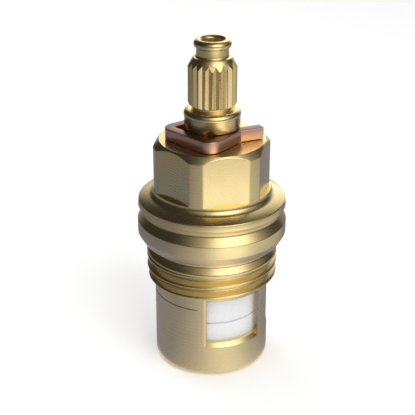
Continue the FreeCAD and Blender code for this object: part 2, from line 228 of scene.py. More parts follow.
def feed(tree, node, **links):
    """Give a node's inputs, by name or as input0, input1, a value or another node's output."""
    for key, value in links.items():
        socket = node.inputs[int(key[5:]) if key.startswith("input") else key.replace("_", " ")]
        if isinstance(value, bpy.types.NodeSocket):
            tree.links.new(value, socket)
        else:
            socket.default_value = value


def add(tree, kind, settings=None, **links):
    """Add a node and return its outputs."""
    node = tree.nodes.new(kind)
    for key, value in (settings or {}).items():
        setattr(node, key, value)
    feed(tree, node, **links)
    return node.outputs


def maths(tree, operation, *values):
    """Output of a math node."""
    inputs = {"input%d" % place: value for place, value in enumerate(values)}
    return add(tree, "ShaderNodeMath", {"operation": operation}, **inputs)[0]


def remap(tree, value, low_in, high_in, low_out=0.0, high_out=1.0, kind="LINEAR"):
    """Carry a value from one range to another, and no further than its ends."""
    return add(tree, "ShaderNodeMapRange", {"interpolation_type": kind}, input0=value, input1=low_in,
               input2=high_in, input3=low_out, input4=high_out)[0]


def scaled(tree, vector, factor):
    """A vector or colour times a number."""
    return add(tree, "ShaderNodeVectorMath", {"operation": "SCALE"}, input0=vector, Scale=factor)[0]


def length(tree, vector):
    """How long a vector is."""
    return add(tree, "ShaderNodeVectorMath", {"operation": "LENGTH"}, input0=vector)["Value"]


def new_material(name):
    """A material with its Principled shader and object coordinates in millimetres."""
    material = bpy.data.materials.new(name)
    material.use_nodes = True
    tree = material.node_tree
    tree.nodes.clear()
    shader = tree.nodes.new("ShaderNodeBsdfPrincipled")
    add(tree, "ShaderNodeOutputMaterial", Surface=shader.outputs[0])
    place = add(tree, "ShaderNodeTexCoord")["Object"]
    return material, tree, shader, scaled(tree, place, 1 / MM)


def ring_coordinates(tree, in_mm):
    """Distance from the axis and height, for marks left by a lathe."""
    split = add(tree, "ShaderNodeSeparateXYZ", input0=in_mm)
    flat = add(tree, "ShaderNodeCombineXYZ", X=split[0], Y=split[1])[0]
    return add(tree, "ShaderNodeCombineXYZ", X=length(tree, flat), Z=split[2])[0]


# %% Brass

noise_low, noise_high = 0.3, 0.7  # most of a noise texture's values lie between these


def brass(name, colour, roughness, mark_size, mark_depth):
    """Free-machining brass: a warm pale gold, with soft-edged reflections and turning marks."""
    material, tree, shader, in_mm = new_material(name)
    marks = add(tree, "ShaderNodeTexNoise", Vector=ring_coordinates(tree, in_mm), Scale=1 / mark_size,
                Detail=3.0, Roughness=0.6)[0]
    cloud = add(tree, "ShaderNodeTexNoise", Vector=in_mm, Scale=0.35, Detail=2.0)[0]
    tone = remap(tree, cloud, noise_low, noise_high, 0.97, 1.02)
    gloss = remap(tree, marks, noise_low, noise_high, roughness - 0.02, roughness + 0.02)
    bump = add(tree, "ShaderNodeBump", Height=marks, Strength=0.12, Distance=mark_depth * MM)[0]
    feed(tree, shader, Metallic=1.0, Base_Color=scaled(tree, linear(colour)[:3], tone),
         Roughness=gloss, Normal=bump)
    return material


turned_brass = brass("turned_brass", "#f5dc9c", roughness=0.27, mark_size=0.09, mark_depth=0.0015)

# %% [markdown]
# The clip is blanked from rolled strip, so its broad faces are bright and coppery. Its faces that
# point up are given a darker base colour, a painted shade, told apart by the normal. Rubber, acetal and
# alumina need less: a base colour and a gloss that drift a little with a fine noise.

# %% Bronze, ceramic, rubber and acetal


def phosphor_bronze(colour, top_shade_tone):
    """Spring strip: coppery pink, with marks along it and a painted shade on the faces that point up."""
    material, tree, shader, in_mm = new_material("phosphor_bronze")
    layers = add(tree, "ShaderNodeMapping", Vector=in_mm, Scale=(0.4, 0.4, 9.0))[0]
    marks = add(tree, "ShaderNodeTexNoise", Vector=layers, Scale=1.0, Detail=3.0)[0]
    normal = add(tree, "ShaderNodeNewGeometry")["Normal"]
    upward = add(tree, "ShaderNodeSeparateXYZ", input0=normal)[2]
    # Painted shade: the base colour darkens on faces that point up.
    tone = maths(tree, "MULTIPLY", remap(tree, marks, noise_low, noise_high, 0.95, 1.02),
                 remap(tree, upward, 0.6, 0.95, 1.0, top_shade_tone))
    gloss = remap(tree, marks, noise_low, noise_high, 0.30, 0.36)
    feed(tree, shader, Metallic=1.0, Base_Color=scaled(tree, linear(colour)[:3], tone), Roughness=gloss)
    return material


def drifting(name, colours, roughness, scale, detail, **more):
    """A material whose colour and gloss drift with a fine noise."""
    material, tree, shader, in_mm = new_material(name)
    grain = add(tree, "ShaderNodeTexNoise", Vector=in_mm, Scale=scale, Detail=detail)[0]
    tone = add(tree, "ShaderNodeMix", {"data_type": "RGBA"}, input0=grain, input6=linear(colours[0]),
               input7=linear(colours[1]))[2]
    feed(tree, shader, Base_Color=tone, Roughness=remap(tree, grain, 0.0, 1.0, *roughness), **more)
    return material


# Painted shade: the second value darkens the clip's faces that point up.
strip_bronze = phosphor_bronze("#efbda3", top_shade_tone=0.30)

# Sintered and lapped alumina: dense cool white, a little translucent, faintly glossy
white_ceramic = drifting("alumina_ceramic", ("#e9e9ec", "#f3f3f4"), (0.22, 0.34), scale=6.0, detail=4.0,
                         IOR=1.76, Subsurface_Weight=0.35, Subsurface_Radius=(1.0 * MM,) * 3)

# Moulded nitrile rubber: near black and matt, with a slight bloom
black_rubber = drifting("nitrile_rubber", ("#1b1b1c", "#2b2b2d"), (0.5, 0.7), scale=1.2, detail=5.0)

# Turned acetal: waxy off-white plastic
white_acetal = drifting("acetal", ("#e4e3de", "#eeeeea"), (0.32, 0.42), scale=2.0, detail=3.0, IOR=1.48)
print("materials:", ", ".join(material.name for material in bpy.data.materials))

# %% [markdown]
# The headwork is one brass turning. Its hexagon is the turned blank with six flats milled on it,
# so at each angle the radius is the smaller of the blank's and the flat's. The thread is cut on a
# chamfered blank in the same way: the smaller of the blank and the thread form wins, which gives
# the natural run-out at both ends. A right-hand thread climbs towards the right.

# %% The hexagon

flange_top = hex_top - 9.40
corner_r = 9.25
across_flats = 17.0
top_chamfer = 0.95
root_fillet = 1.20
flats_foot = flange_top + 1.40
edge_softness = 0.012  # easing of the upright edges between two flats
print("hexagon: %.1f mm across flats, %.1f mm high" % (across_flats, hex_top - flange_top))


def hex_radius(angle):
    """Radius of the blank with six flats, with the edges between them slightly eased."""
    from_flat = np.abs((angle + pi / 6) % (pi / 3) - pi / 6)
    flat = across_flats / 2 / np.cos(from_flat)
    return corner_r - edge_softness * np.log(np.exp((corner_r - flat) / edge_softness) + 1)


def hexagon_outline(angle):
    """From the hexagon's chamfered top down its flats to the fillet at their foot."""
    radius = hex_radius(angle)
    outline = [(corner_r - top_chamfer, hex_top),
               (radius, hex_top - (radius - corner_r + top_chamfer)),
               (radius, flats_foot)]
    return outline + arc((corner_r + root_fillet, flats_foot), root_fillet, 180, 250, 9)


# %% The flange and seat ring

rim_r = 11.75
rim_foot = flange_top - 1.35
seat_ring_r = 11.845
seat_ring_top = flange_top - 3.85
seat_ring_foot = seat_ring_top - 2.05
seat_face = seat_ring_foot - 1.43
ring_inner = 10.53  # inner edge of the seat face
print("flange %.1f mm across, seat face at %.2f mm" % (2 * rim_r, seat_face))


def flange_outline():
    """The flange's shallow cone and edge, the cove below it, and the tapered seat ring."""
    outline = [(11.50, flange_top - 0.26), (11.64, flange_top - 0.37), (rim_r, rim_foot)]
    outline += arc_through((rim_r, rim_foot), (11.02, seat_ring_top + 2.00),
                           (11.05, seat_ring_top + 1.15), 10)[1:]
    return outline + [(seat_ring_r, seat_ring_top), (seat_ring_r, seat_ring_foot),
                      (11.00, seat_face), (ring_inner, seat_face)]


# %% The thread

thread_pitch = 1.814
thread_major = 10.4775
thread_root = 9.3155
vee_half_depth = 0.480 * thread_pitch
form_power = 5  # a higher power keeps more of the straight flanks
front_crest = 18.55  # height of a crest at the photograph's front
front_angle = radians(-15)
relief_r = 9.75
relief_foot = seat_face - 0.85
relief_run = 1.30
ring_undercut = 0.30  # height of the cone from the relief to that edge
thread_chamfer = 0.65
thread_fade = (seat_face - 2.55, seat_face - 2.15)  # heights between which the thread ends
print("thread: pitch %.3f mm, %.2f mm over the crests" % (thread_pitch, 2 * thread_major))


def smooth(share):
    """0 to 1 with soft ends."""
    share = np.clip(share, 0, 1)
    return share * share * (3 - 2 * share)


def thread_blank(height):
    """Radius of the blank: chamfered below, with a soft relief under the seat ring."""
    chamfer = thread_root + (height - shoulder) * (thread_major - thread_root) / thread_chamfer
    relief = relief_r + (thread_major - relief_r) * smooth((relief_foot - height) / relief_run)
    risen = np.maximum(height - seat_face + ring_undercut, 0) / ring_undercut
    under_ring = relief_r + (ring_inner - relief_r) * risen
    return np.minimum(np.minimum(chamfer, thread_major), np.maximum(relief, under_ring))


def thread_form(angle, height):
    """Radius of the 55 degree thread form, with crest and root rounded."""
    phase = (height - front_crest) / thread_pitch - (angle - front_angle) / (2 * pi)
    from_crest = np.abs((phase + 0.5) % 1 - 0.5)
    sharp = (0.25 - from_crest) * 4 * vee_half_depth
    half_depth = (thread_major - thread_root) / 2
    middle = (thread_major + thread_root) / 2
    return middle + sharp / (1 + np.abs(sharp / half_depth)**form_power)**(1 / form_power)


def thread_outline(angle):
    outline = []
    for height in np.linspace(seat_face, shoulder, 110):
        cut = smooth((thread_fade[1] - height) / (thread_fade[1] - thread_fade[0]))
        form = thread_major - cut * (thread_major - thread_form(angle, height))
        outline.append((np.minimum(thread_blank(height), form), height))
    return outline


# %% The bore, the counterbore and the skirt

bore_r = 4.46
counterbore_r = 8.63
cavity_r = 7.20
washer_seat = span("thrust_washer")[0] + 0.85
sleeve_r = 9.20
cavity_floor = spigot_top + 0.10
outlet = radians(50.5)  # middle of the post between the windows
closed_side = outlet + pi
blade_direction = outlet + pi / 2
wall_start, wall_end = outlet - radians(79.5), outlet + radians(79.5)  # the sleeve's full wall
edge_ease = 0.07  # easing of the skirt's and sleeve's edges
stop_inner = 5.60
stop_start, stop_turn = radians(21.5), radians(137)
overlap = 0.3  # how far the skirt and the stop reach into the body


def bore_outline():
    return [(counterbore_r, shoulder), (counterbore_r, cavity_floor), (cavity_r, cavity_floor),
            (cavity_r, washer_seat), (bore_r, washer_seat), (bore_r, hex_top - 0.40),
            (bore_r + 0.40, hex_top)]


def polar_block(inner, outer, bottom, top, start, end, columns=90, ease=0.0):
    """Closed block between two radii, heights and angles."""
    angle = np.linspace(start, end, columns + 1)
    rows = np.array([(inner, bottom), (outer - ease, bottom), (outer, bottom + ease), (outer, top),
                     (outer - ease, top), (inner, top), (inner, bottom)])
    radii = np.array([[inner, outer - ease, outer]] * 2)
    heights = np.array([[bottom, bottom, bottom + ease], [top] * 3])
    ends = [polar(radii, edge, heights) for edge in (start, end)]
    return [polar(rows[:, :1], angle, rows[:, 1:])] + ends


columns = 288
angle = np.linspace(0, 2 * pi, columns + 1)
body_outline = hexagon_outline(angle) + flange_outline() + thread_outline(angle) + bore_outline()
body_outline.append(body_outline[0])
body_grid = lathe(body_outline, columns, edge=0.10, least_turn=25)
skirt = polar_block(counterbore_r, sleeve_r, skirt_foot, shoulder + overlap,
                    wall_end, wall_start + 2 * pi, ease=edge_ease)
stop = polar_block(stop_inner, cavity_r + overlap, cavity_floor, washer_seat,
                   closed_side - stop_start - stop_turn, closed_side - stop_start, columns=60)
headwork_mesh = mesh_of("headwork", [body_grid] + skirt + stop)
piece("headwork", headwork_mesh, turned_brass, "headwork_body", HEADWORK)

# %% [markdown]
# The sleeve is a thin tube with two windows milled straight through its wall. Their sill is
# chamfered outside, and their sides and head are rounded. The sleeve is built as the outer wall,
# the bore, and for each window a funnel of rectangular loops that leads from one to the other. At
# each radius the loop's sides follow from the straight cut, or from the rounding near the outside.

# %% The sleeve's windows

sleeve_bore = 8.10
recess_r = 8.40  # bore between the windows' sill and head, wider for the water
spigot_r = 8.60
window_half = 4.20
window_round = 0.45
sill_drop = 0.64  # height of the sill's chamfer, as wide as the rounding
window_sill = sleeve_foot + 5.55
window_head = shoulder - 0.60
window_spread = radians(82)
lap_foot = skirt_foot - 0.03  # foot of the recess that the headwork's skirt laps over
round_centre_r = sleeve_r - window_round
post_cut = radians(-13)  # direction in which the post's side was milled
post_cut_reach = 7.318  # how far that cut passes from the axis
lip_bore = 7.55  # narrower bore at the foot, where the seal rests
foot_round = 0.30  # easing of the sleeve's lower edge
zone_columns = [5, 40, 12, 40, 5, 120]
zone_start = np.concatenate([[0], np.cumsum(zone_columns)])
window_zones = (1, 3)
wall_zones = (0, 2, 4)
closed_zone = 5  # the wall under the headwork's skirt
print("windows from %.2f to %.2f mm" % (window_sill, window_head))


def far_side(radius):
    """Angle from the window's middle to the side away from the post, rounded near the outside."""
    centre_angle = asin((window_half + window_round) / round_centre_r)
    tangent_r = hypot(window_half, sqrt(round_centre_r**2 - (window_half + window_round)**2))
    if radius < tangent_r:
        return asin(window_half / radius)
    from_centre = (round_centre_r**2 + radius**2 - window_round**2) / (2 * round_centre_r * radius)
    return centre_angle - acos(min(1.0, from_centre))


def post_half(radius):
    """Half the angle of the post between the windows, narrower inside."""
    return outlet - post_cut - asin(post_cut_reach / radius)


def head_edge(radius):
    """How far the rounding has opened the head at a radius."""
    depth = max(0.0, radius - round_centre_r)
    return window_round - sqrt(max(0.0, window_round**2 - depth**2))


def sill_edge(radius):
    """How far the chamfer has lowered the sill at a radius."""
    return sill_drop * max(0.0, radius - round_centre_r) / window_round


def sleeve_angles(radius):
    """Column angles round the sleeve, with the windows' edges on columns at this radius."""
    far = window_spread / 2 + far_side(radius)
    near = post_half(radius)
    stops = [wall_start, outlet - far, outlet - near, outlet + near, outlet + far, wall_end,
             wall_start + 2 * pi]
    runs = [np.linspace(a, b, n + 1)[:-1] for a, b, n in zip(stops[:-1], stops[1:], zone_columns)]
    return np.concatenate(runs + [stops[-1:]])


outer_sill = window_sill - sill_edge(sleeve_r)
outer_head = window_head + head_edge(sleeve_r)
lap_row = 8  # row of outer_heights at the skirt's foot
outer_heights = np.concatenate([np.linspace(outer_sill, lap_foot - edge_ease, lap_row), [lap_foot],
                                np.linspace(lap_foot, outer_head, 4)[1:]])
share = (outer_heights - outer_sill) / (outer_head - outer_sill)


def window_heights(radius):
    bottom = window_sill - sill_edge(radius)
    top = window_head + head_edge(radius)
    return bottom + share * (top - bottom)


def zone(radius, index):
    return sleeve_angles(radius)[zone_start[index]:zone_start[index + 1] + 1]


def window_funnel(index):
    """Four strips that lead from the sleeve's outside to its recessed bore."""
    radii = [sleeve_r - window_round * (1 - cos(a)) for a in np.linspace(0, pi / 2, 7)]
    radii += list(np.linspace(radii[-1], recess_r, 4)[1:])
    strips = [[polar(r, zone(r, index), window_heights(r)[end]) for r in radii] for end in (0, -1)]
    strips += [[polar(r, zone(r, index)[end], window_heights(r)) for r in radii] for end in (0, -1)]
    return [np.array(strip) for strip in strips]


# %% The sleeve's walls


def band(radius, index, heights):
    """Part of a cylinder over one zone, between heights."""
    return polar(radius, zone(radius, index)[None, :], np.asarray(heights)[:, None])


def chain(steps):
    """Turned surface right round, from (radius, height, radius that the columns follow) steps."""
    return np.array([polar(r, sleeve_angles(columns_at), z) for r, z, columns_at in steps])


def over_zone(index, steps):
    """Turned surface over one zone of the outer wall, from (radius, height) steps."""
    return np.array([polar(r, zone(sleeve_r, index), z) for r, z in steps])


def lap_step(edge):
    """Upright faces where the skirt's recess ends."""
    heights = np.concatenate([outer_heights[lap_row:], [shoulder]])
    radii = np.array([spigot_r, sleeve_r - edge_ease, sleeve_r])
    corner = [[polar(sleeve_r, edge, lap_foot - edge_ease)] * 2,
              [polar(r, edge, lap_foot) for r in (sleeve_r - edge_ease, sleeve_r)]]
    return [polar(radii[None, :], edge, heights[:, None]), np.array(corner)]


def sleeve_grids():
    foot = [(sleeve_r - foot_round, sleeve_foot), (sleeve_r - 0.03, sleeve_foot + 0.22),
            (sleeve_r, sleeve_foot + 0.33), (sleeve_r, outer_sill)]
    grids = [chain([(r, z, sleeve_r) for r, z in foot])]
    for index in wall_zones:
        grids.append(band(sleeve_r, index, outer_heights))
        grids.append(band(recess_r, index, window_heights(recess_r)))
    for index in range(closed_zone):
        grids.append(band(sleeve_r, index, [outer_head, shoulder]))
        grids.append(over_zone(index, [(sleeve_r, shoulder), (sleeve_r - edge_ease, shoulder),
                                       (spigot_r, shoulder), (spigot_r, spigot_top)]))
    lap = [(sleeve_r, z) for z in outer_heights[:lap_row]] + [(sleeve_r - edge_ease, lap_foot)]
    lap += [(spigot_r, z) for z in (*outer_heights[lap_row:], shoulder, spigot_top)]
    grids.append(over_zone(closed_zone, lap))
    grids.append(band(recess_r, closed_zone, window_heights(recess_r)))
    for index in window_zones:
        grids += window_funnel(index)
    grids.append(chain([(spigot_r, spigot_top, sleeve_r), (sleeve_bore, spigot_top, recess_r),
                        (sleeve_bore, window_head, recess_r), (recess_r, window_head, recess_r)]))
    lip_top = sleeve_foot + 0.85
    grids.append(chain([(recess_r, window_sill, recess_r), (sleeve_bore, window_sill, recess_r),
                        (sleeve_bore, lip_top, recess_r), (lip_bore, lip_top, recess_r),
                        (lip_bore, sleeve_foot, recess_r),
                        (sleeve_r - foot_round, sleeve_foot, sleeve_r)]))
    for edge in (wall_start, wall_end):
        grids += lap_step(edge)
    return grids


sleeve_mesh = mesh_of("disc_sleeve_piece", sleeve_grids())
piece("windowed_sleeve", sleeve_mesh, turned_brass, "disc_sleeve", HEADWORK)

# %% [markdown]
# The two discs are plain cylinders with flat lapped faces. The lower one has a half-moon port right
# through it. The upper one has a half-moon relief underneath, open to its rim, and a slot on top for
# the spindle's blade. Straight cuts like these are what a boolean does well.

# %% Prisms, and cutting with a boolean


def evaluated(made):
    """The mesh that an object's modifiers make; the object is removed."""
    result = bpy.data.meshes.new_from_object(made.evaluated_get(bpy.context.evaluated_depsgraph_get()))
    bpy.data.objects.remove(made)
    return shaded(result)


def carve(mesh, cutter_mesh):
    """Cut one closed mesh out of another and return the result."""
    body = put("carved", mesh)
    cutter = put("cutter", cutter_mesh)
    cut = body.modifiers.new("cut", "BOOLEAN")
    cut.operation = "DIFFERENCE"
    cut.solver = "EXACT"
    cut.object = cutter
    result = evaluated(body)
    bpy.data.objects.remove(cutter)
    return result


def loft(name, foot, head):
    """Closed mesh between two loops of points, with one face over each."""
    work = bmesh.new()
    rings = [[work.verts.new(point) for point in loop] for loop in (foot, head)]
    for ring in rings:
        work.faces.new(ring)
    for i in range(len(foot)):
        work.faces.new([rings[0][i - 1], rings[0][i], rings[1][i], rings[1][i - 1]])
    bmesh.ops.recalc_face_normals(work, faces=work.faces)
    return ended(work, name)


def prism(name, plan, bottom, top, direction):
    """Prism over a plan of (along, across) points, with along turned to a direction."""
    along = np.array([sin(direction), -cos(direction)])
    across = np.array([cos(direction), sin(direction)])
    flat = [(along * v + across * u) * MM for v, u in plan]
    return loft(name, *([(x, y, z * MM) for x, y in flat] for z in (bottom, top)))


def box_mesh(near, far, half_width, bottom, top, direction):
    """Box along a plan direction, from near to far of the axis."""
    plan = [(near, -half_width), (far, -half_width), (far, half_width), (near, half_width)]
    return prism("box", plan, bottom, top, direction)


def half_moon_mesh(radius, land, corner, bottom, top, direction):
    """Half-moon prism with rounded corners."""
    reach = sqrt((radius - corner)**2 - (land + corner)**2)
    turn = atan2(reach, land + corner)
    rounded = [(land + corner * (1 + cos(a)), reach + corner * sin(a)) for a in np.linspace(turn, pi, 9)]
    plan = rounded + [(v, -u) for v, u in reversed(rounded)]
    plan += [(radius * cos(a), radius * sin(a)) for a in np.linspace(-turn, turn, 48)[1:-1]]
    return prism("half_moon", plan, bottom, top, direction)


# %% The two ceramic discs

disc_r = 8.00
disc_chamfer = 0.15
film_height, film_depth = 0.17, 0.40  # the fine groove that draws a grey line between the discs
port_r = 5.80
port_corner = 0.80
land = 0.80  # from the axis to the straight side of port and relief
relief_height = 1.70
slot_half_length, slot_half_width, slot_depth = 5.86, 1.61, 1.45
past = 1.0  # how far a cutter passes the face that it cuts
wide = 1.5 * disc_r  # beyond the rim


def disc_blank(bottom, top, top_edge):
    outline = [(0, bottom), (disc_r - disc_chamfer, bottom), (disc_r, bottom + disc_chamfer)]
    return mesh_of("disc", [lathe(outline + top_edge + [(0, top)], 240, edge=0.03, least_turn=30)])


film_foot = fixed_top - film_height
film_groove = [(disc_r, film_foot), (disc_r - film_depth, film_foot), (disc_r - film_depth, fixed_top)]
fixed_mesh = carve(disc_blank(fixed_foot, fixed_top, film_groove),
                   half_moon_mesh(port_r, land, port_corner, fixed_foot - past, fixed_top + past, outlet))
plain_edge = [(disc_r, moving_top - disc_chamfer), (disc_r - disc_chamfer, moving_top)]
relief_mesh = box_mesh(land, wide, wide, moving_foot - past, moving_foot + relief_height, closed_side)
slot_mesh = box_mesh(-slot_half_length, slot_half_length, slot_half_width,
                     moving_top - slot_depth, moving_top + past, blade_direction)
moving_mesh = carve(carve(disc_blank(moving_foot, moving_top, plain_edge), relief_mesh), slot_mesh)
piece("fixed_ceramic_disc", fixed_mesh, white_ceramic, "fixed_disc", HEADWORK)
piece("moving_ceramic_disc", moving_mesh, white_ceramic, "moving_disc", TURNING)

# %% [markdown]
# The base seal is a moulded rubber ring. Its nose stands out of the sleeve's foot and is pressed on
# the tap's seat. A ring mould is turned, so the lathe helper serves again, with softer edges.

# %% The base seal

seal_inner, seal_outer = 5.32, 8.05
nose_inner, nose_outer = 5.80, 7.45  # the ring that presses on the tap's seat
nose_chamfer = 0.12


def seal_outline():
    shelf = sleeve_foot + 0.87
    ring_seat = span("seal_support_ring")[0] - 0.02
    return [(nose_inner, nose_chamfer), (nose_inner + nose_chamfer, 0), (nose_outer - nose_chamfer, 0),
            (nose_outer, nose_chamfer), (nose_outer, shelf), (seal_outer, shelf), (seal_outer, seal_top),
            (seal_inner, seal_top), (seal_inner, ring_seat), (nose_inner, ring_seat),
            (nose_inner, nose_chamfer)]


seal_mesh = mesh_of("seal", [lathe(seal_outline(), 180, edge=0.10)])
piece("moulded_base_seal", seal_mesh, black_rubber, "base_seal", HEADWORK)

# %% [markdown]
# The spindle is turned too, and then its twenty teeth are cut. The core is a lathe outline at the
# depth of the grooves. One tooth is modelled, and Geometry Nodes set twenty of it round the axis.

# %% The spindle's core

drive_foot = moving_top + 0.05
drive_r = 6.90
hub_foot = drive_foot + 2.40
hub_r = 5.40
hub_top = hub_foot + 2.90
stem_r = 4.40
seal_groove_r = 3.20
seal_groove_half = 1.05
clip_groove_r = 3.25
collar_foot = clip_top + 0.07
collar_top = collar_foot + 2.95
collar_r = 4.36
collar_round = 0.80
collar_bead = (3.63, collar_top - collar_round)  # centre of the rounding at the collar's top
spline_foot = collar_top + 0.60
spline_r = 3.76
spline_root = 3.36
core_r = spline_root - 0.02  # a little inside the roots of the teeth
cone_foot = spline_foot + 6.05
cone_run = 1.27  # up to where the lip's rounding starts
lip_height = cone_foot + 1.47
lip_r = 3.05
lip_round = 0.20
neck_r = 2.48
neck_fillet = 0.35
bead_round = 0.72
bead_middle = (2.15, spindle_top - bead_round)
screw_r = 1.65
screw_depth = 9.0


def cone_height(radius):
    """Height at which the cone above the spline has a radius."""
    return cone_foot + (spline_r - radius) / (spline_r - lip_r) * cone_run


def spindle_outline():
    outline = [(0, drive_foot), (drive_r, drive_foot), (drive_r, hub_foot), (hub_r, hub_foot),
               (hub_r, hub_top), (stem_r, hub_top)]
    for node in ("spindle_oring_lower", "spindle_oring_upper"):
        middle = sum(span(node)) / 2
        foot, head = middle - seal_groove_half, middle + seal_groove_half
        outline += [(stem_r, foot), (seal_groove_r, foot), (seal_groove_r, head), (stem_r, head)]
    outline += [(stem_r, hex_top), (clip_groove_r, hex_top), (clip_groove_r, collar_foot),
                (collar_r, collar_foot)]
    outline += arc(collar_bead, collar_round, -24.15, 127.8, 18)
    outline += [(3.14, spline_foot), (core_r, spline_foot), (core_r, cone_height(spline_root)),
                (lip_r, lip_height - lip_round)]
    outline += arc((lip_r - lip_round, lip_height - lip_round), lip_round, 0, 90, 5)[1:]
    outline += arc((neck_r + neck_fillet, lip_height + neck_fillet), neck_fillet, 270, 180, 6)
    bead_foot = -np.degrees(acos((neck_r - bead_middle[0]) / bead_round))
    outline += arc(bead_middle, bead_round, bead_foot, 90, 16)
    return outline + [(2.00, spindle_top), (screw_r, spindle_top - 0.35),
                      (screw_r, spindle_top - screw_depth), (0, spindle_top - screw_depth - 1.0)]


core_mesh = mesh_of("spindle_core", [lathe(spindle_outline(), 240, edge=0.07)])
print("spindle's core:", len(core_mesh.polygons), "faces")

# %% One tooth

spline_count = 20
groove_turn = radians(-6)  # direction of one groove
flank_width = 0.477  # of one side of a tooth, measured round the spline


def tooth_mesh():
    """A tooth with a flat crest, chamfered at its foot and sloped along the cone at its head."""
    half_root = pi / spline_count
    half_tip = half_root - flank_width / spline_r
    sunk = spline_root - 0.15  # into the core, so that the two overlap
    side = [(sunk, half_root), (spline_root, half_root), (spline_r - 0.05, half_tip + 0.012),
            (spline_r, half_tip - 0.02)]
    section = side + [(r, -a) for r, a in reversed(side)]
    foot = [polar(r, a, spline_foot + max(0, r - spline_r + 0.30)) for r, a in section]
    head = [polar(r, a, cone_height(r)) for r, a in section]
    return loft("tooth", foot, head)


# %% Geometry Nodes set the teeth round the axis


def new_geometry_tree(name, inputs):
    """A geometry tree with a geometry input and output, and named inputs of given kinds."""
    tree = bpy.data.node_groups.new(name, "GeometryNodeTree")
    for in_out in ("INPUT", "OUTPUT"):
        tree.interface.new_socket("Geometry", in_out=in_out, socket_type="NodeSocketGeometry")
    for label, kind in inputs.items():
        tree.interface.new_socket(label, in_out="INPUT", socket_type="NodeSocket" + kind)
    return tree, add(tree, "NodeGroupInput")


def close_tree(tree, geometry, material):
    """End the tree in real geometry with its material."""
    real = add(tree, "GeometryNodeRealizeInstances", Geometry=geometry)[0]
    dressed = add(tree, "GeometryNodeSetMaterial", Geometry=real, Material=material)[0]
    add(tree, "NodeGroupOutput", input0=dressed)


def run_tree(data, tree, values):
    """Run a tree on a mesh or curve, and return the plain mesh."""
    holder = put(tree.name, data)
    modifier = holder.modifiers.new(tree.name, "NODES")
    modifier.node_group = tree
    for item in tree.interface.items_tree:
        if item.in_out == "INPUT" and item.name in values:
            modifier[item.identifier] = values[item.name]
    bpy.context.view_layer.update()
    return evaluated(holder)


def round_the_axis(material):
    """Copies of the geometry, evenly turned about Z."""
    tree, given = new_geometry_tree("round_the_axis", {"Count": "Int", "First Turn": "Float"})
    line = add(tree, "GeometryNodeMeshLine", Count=given["Count"], Offset=(0, 0, 0))[0]
    step = maths(tree, "DIVIDE", 2 * pi, given["Count"])
    index = add(tree, "GeometryNodeInputIndex")[0]
    turn = maths(tree, "MULTIPLY_ADD", index, step, given["First Turn"])
    spin = add(tree, "ShaderNodeCombineXYZ", Z=turn)[0]
    copies = add(tree, "GeometryNodeInstanceOnPoints", Points=line, Instance=given["Geometry"],
                 Rotation=spin)[0]
    close_tree(tree, copies, material)
    return tree


teeth_mesh = run_tree(tooth_mesh(), round_the_axis(turned_brass),
                      {"Count": spline_count, "First Turn": groove_turn + pi / spline_count})
print("spline:", spline_count, "teeth,", len(teeth_mesh.polygons), "faces")

# %% Join the spindle

blade_half_length, blade_half_width, blade_depth = 5.80, 1.55, 1.40
lug_inner, lug_outer = 4.90, 6.95
lug_half = radians(20)
blade_mesh = box_mesh(-blade_half_length, blade_half_length, blade_half_width,
                      drive_foot - blade_depth, drive_foot + 1.0, blade_direction)
lug_mesh = mesh_of("lug", polar_block(lug_inner, lug_outer, hub_foot - 0.10, hub_top,
                                      closed_side - lug_half, closed_side + lug_half, columns=24))
work = bmesh.new()
for mesh in (core_mesh, teeth_mesh, blade_mesh, lug_mesh):
    work.from_mesh(mesh)
piece("splined_spindle", ended(work, "spindle_piece"), turned_brass, "spindle", TURNING)

# %% [markdown]
# The retaining clip is a strip bent round the spindle's groove. Its middle line is drawn as a
# polyline. The tree fillets each corner by the radius stored on that point, then sweeps a
# rectangle with softened corners along it.

# %% The clip's path

clip_turn = radians(120.8)  # direction of the closed end
clip_strip = 1.60
clip_edge = 0.12
clip_back, clip_half = 5.98, 5.60  # reach of its outside from the axis, at the closed end and beside
leg_length, leg_slope = 6.80, radians(7.9)
tail_length, tail_slope = 4.10, radians(21.4)
leg_bend, back_bend = 1.30, 1.10  # radii of the middle line


def clip_path():
    """Middle line of the strip as a curve, each point carrying its corner radius."""
    back = (clip_strip / 2 - clip_back, clip_half - clip_strip / 2)
    leg_end = (back[0] + leg_length * cos(leg_slope), back[1] - leg_length * sin(leg_slope))
    tip = (leg_end[0] + tail_length * cos(tail_slope), leg_end[1] + tail_length * sin(tail_slope))
    side = [(tip, 0.0), (leg_end, leg_bend), (back, back_bend)]
    path = [((-v, -u), r) for (u, v), r in side] + [((v, -u), r) for (u, v), r in reversed(side)]
    curve = bpy.data.curves.new("clip_path", "CURVE")
    curve.dimensions = "3D"
    spline = curve.splines.new("POLY")
    spline.points.add(len(path) - 1)  # a new one has a point already
    spin = Matrix.Rotation(clip_turn, 3, "Z")
    for point, ((x, y), corner) in zip(spline.points, path):
        place = spin @ Vector((x, y, (clip_foot + clip_top) / 2)) * MM
        point.co = (*place, 1)
        point.radius = max(corner, 0.001) * MM
    return curve


